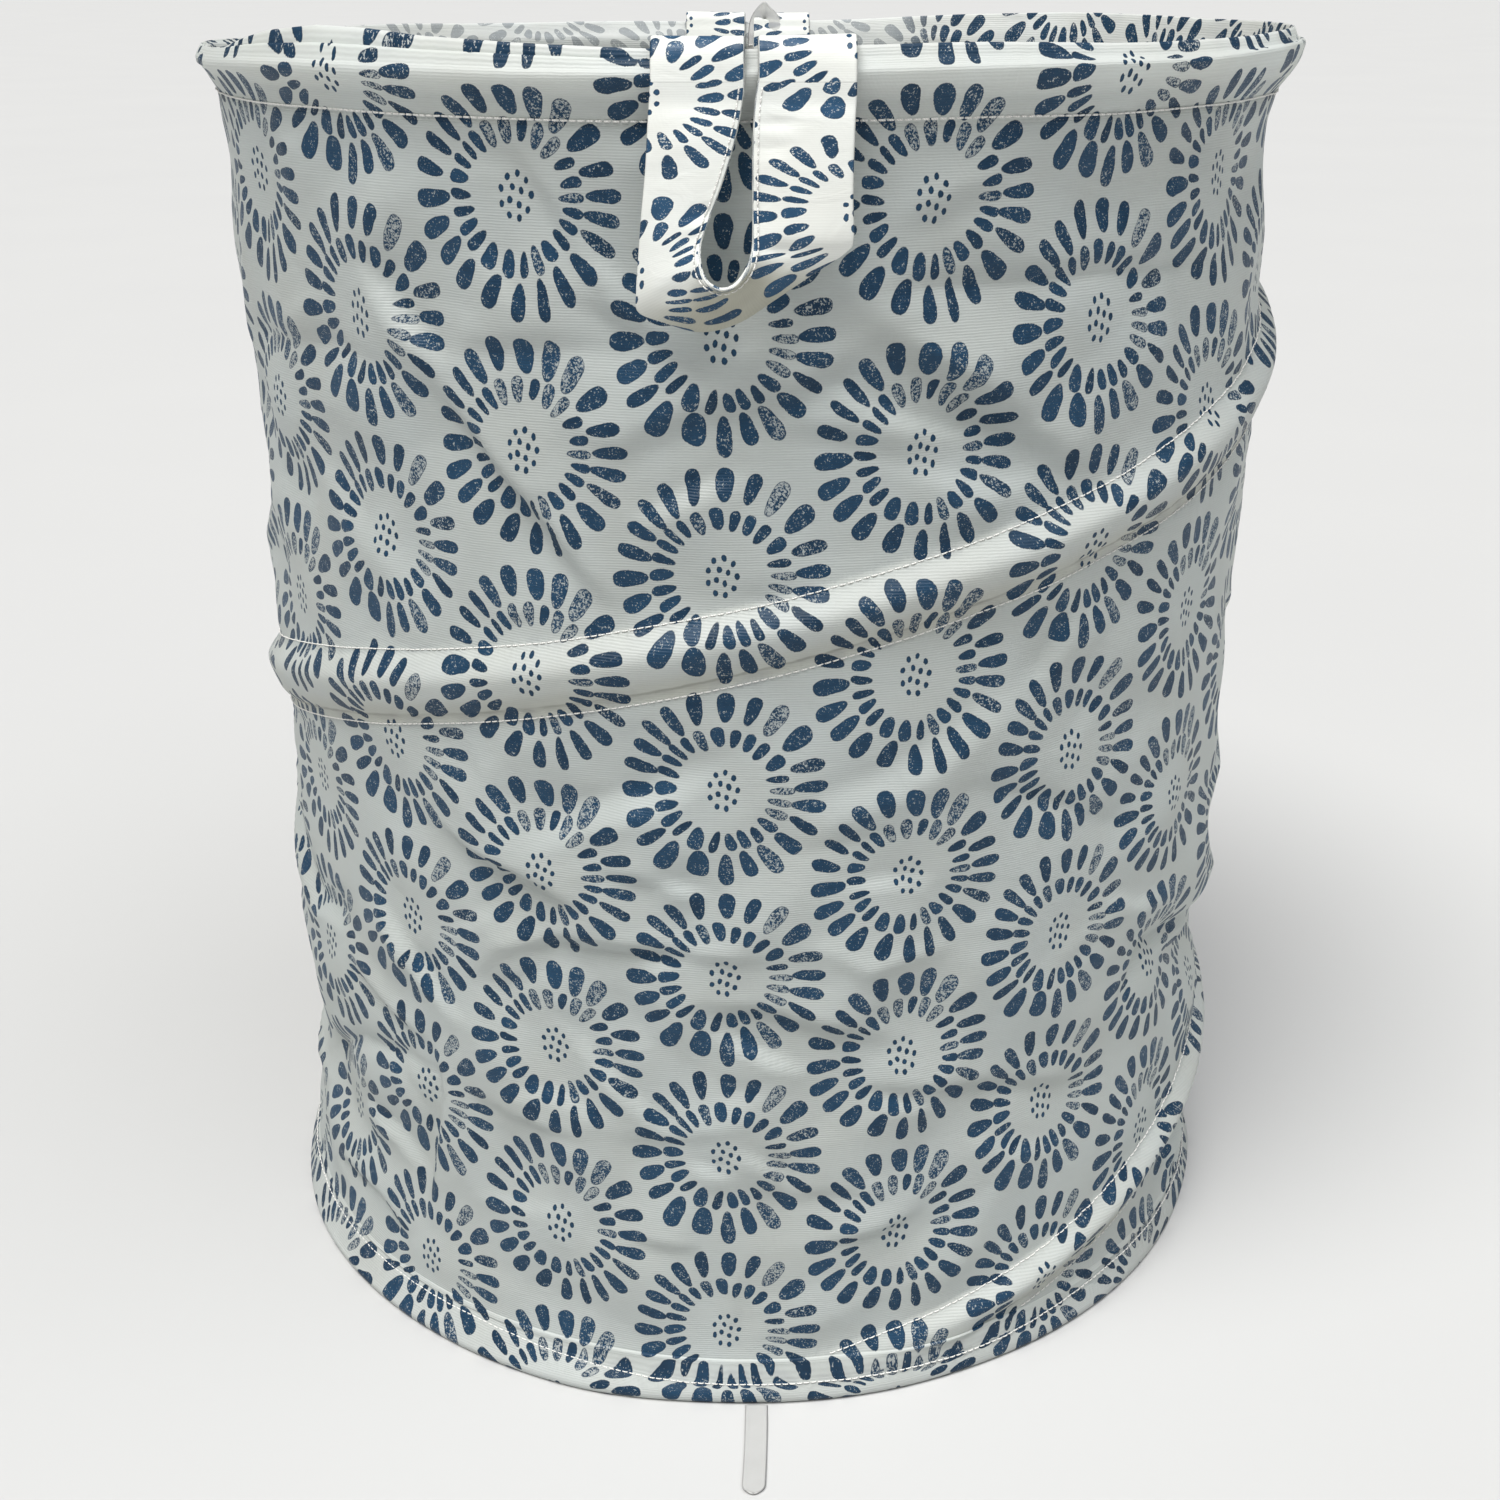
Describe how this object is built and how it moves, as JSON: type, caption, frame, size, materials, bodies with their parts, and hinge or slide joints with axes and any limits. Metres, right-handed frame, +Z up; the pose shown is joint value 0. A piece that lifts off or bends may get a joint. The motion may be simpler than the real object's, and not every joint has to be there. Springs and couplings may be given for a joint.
{
  "type": "laundry hamper",
  "caption": "Round open-topped pop up laundry hamper: printed cloth wall on a spring wire spiral, strap handles and a tie ribbon.",
  "frame": {"origin": "on the hamper's axis at the underside of its base, on the floor", "axes": "+Z up along the hamper's axis; -Y is the front, where the tie ribbon lies; +X is to the right seen from the front"},
  "size_m": [0.4594, 0.5131, 0.542],
  "materials": {
    "printed_cloth": "satin, printed in navy",
    "strap_cloth": "satin, printed in navy",
    "lining_cloth": "satin",
    "ribbon": "satin",
    "spring_steel": "satin",
    "crimp_metal": "satin",
    "vinyl": "matte"
  },
  "bodies": {
    "root": {"bottom_hem": "printed_cloth", "bottom_ring_wire": "spring_steel", "bottom_ring_sleeve": "crimp_metal", "base": "lining_cloth", "wall": "printed_cloth", "spiral_channel": "printed_cloth", "spiral_wire": "spring_steel", "spiral_tip_lower": "vinyl", "spiral_tip_upper": "vinyl"},
    "top": {"top_hem": "printed_cloth", "top_ring_wire": "spring_steel", "top_ring_sleeve": "crimp_metal", "front_handle_end_left": "strap_cloth", "front_handle_end_right": "strap_cloth", "back_handle_end_left": "strap_cloth", "back_handle_end_right": "strap_cloth", "hanging_loop": "ribbon"},
    "front_handle": {"front_handle": "strap_cloth"},
    "back_handle": {"back_handle": "strap_cloth"},
    "tie": {"tie_ribbon": "ribbon"}
  },
  "joints": [
    {"name": "collapse", "type": "slide", "parent": "root", "child": "top", "axis": [0, 0, 1], "range_m": [-0.486, 0], "stiffness_N_per_m": 8, "springref_m": 0.4, "deforming": ["wall", "spiral_channel", "spiral_wire", "spiral_tip_lower", "spiral_tip_upper", "tie_ribbon"]},
    {"name": "front_handle_swing", "type": "hinge", "parent": "top", "child": "front_handle", "pos_m": [0, -0.2314, 0.532], "axis": [-1, 0, 0], "range_deg": [0, 180]},
    {"name": "back_handle_swing", "type": "hinge", "parent": "top", "child": "back_handle", "pos_m": [0, 0.2314, 0.532], "axis": [1, 0, 0], "range_deg": [0, 180]},
    {"name": "tie_swing", "type": "hinge", "parent": "root", "child": "tie", "pos_m": [0, -0.2307, 0.0005], "axis": [-1, 0, 0], "range_deg": [0, 90]}
  ]
}
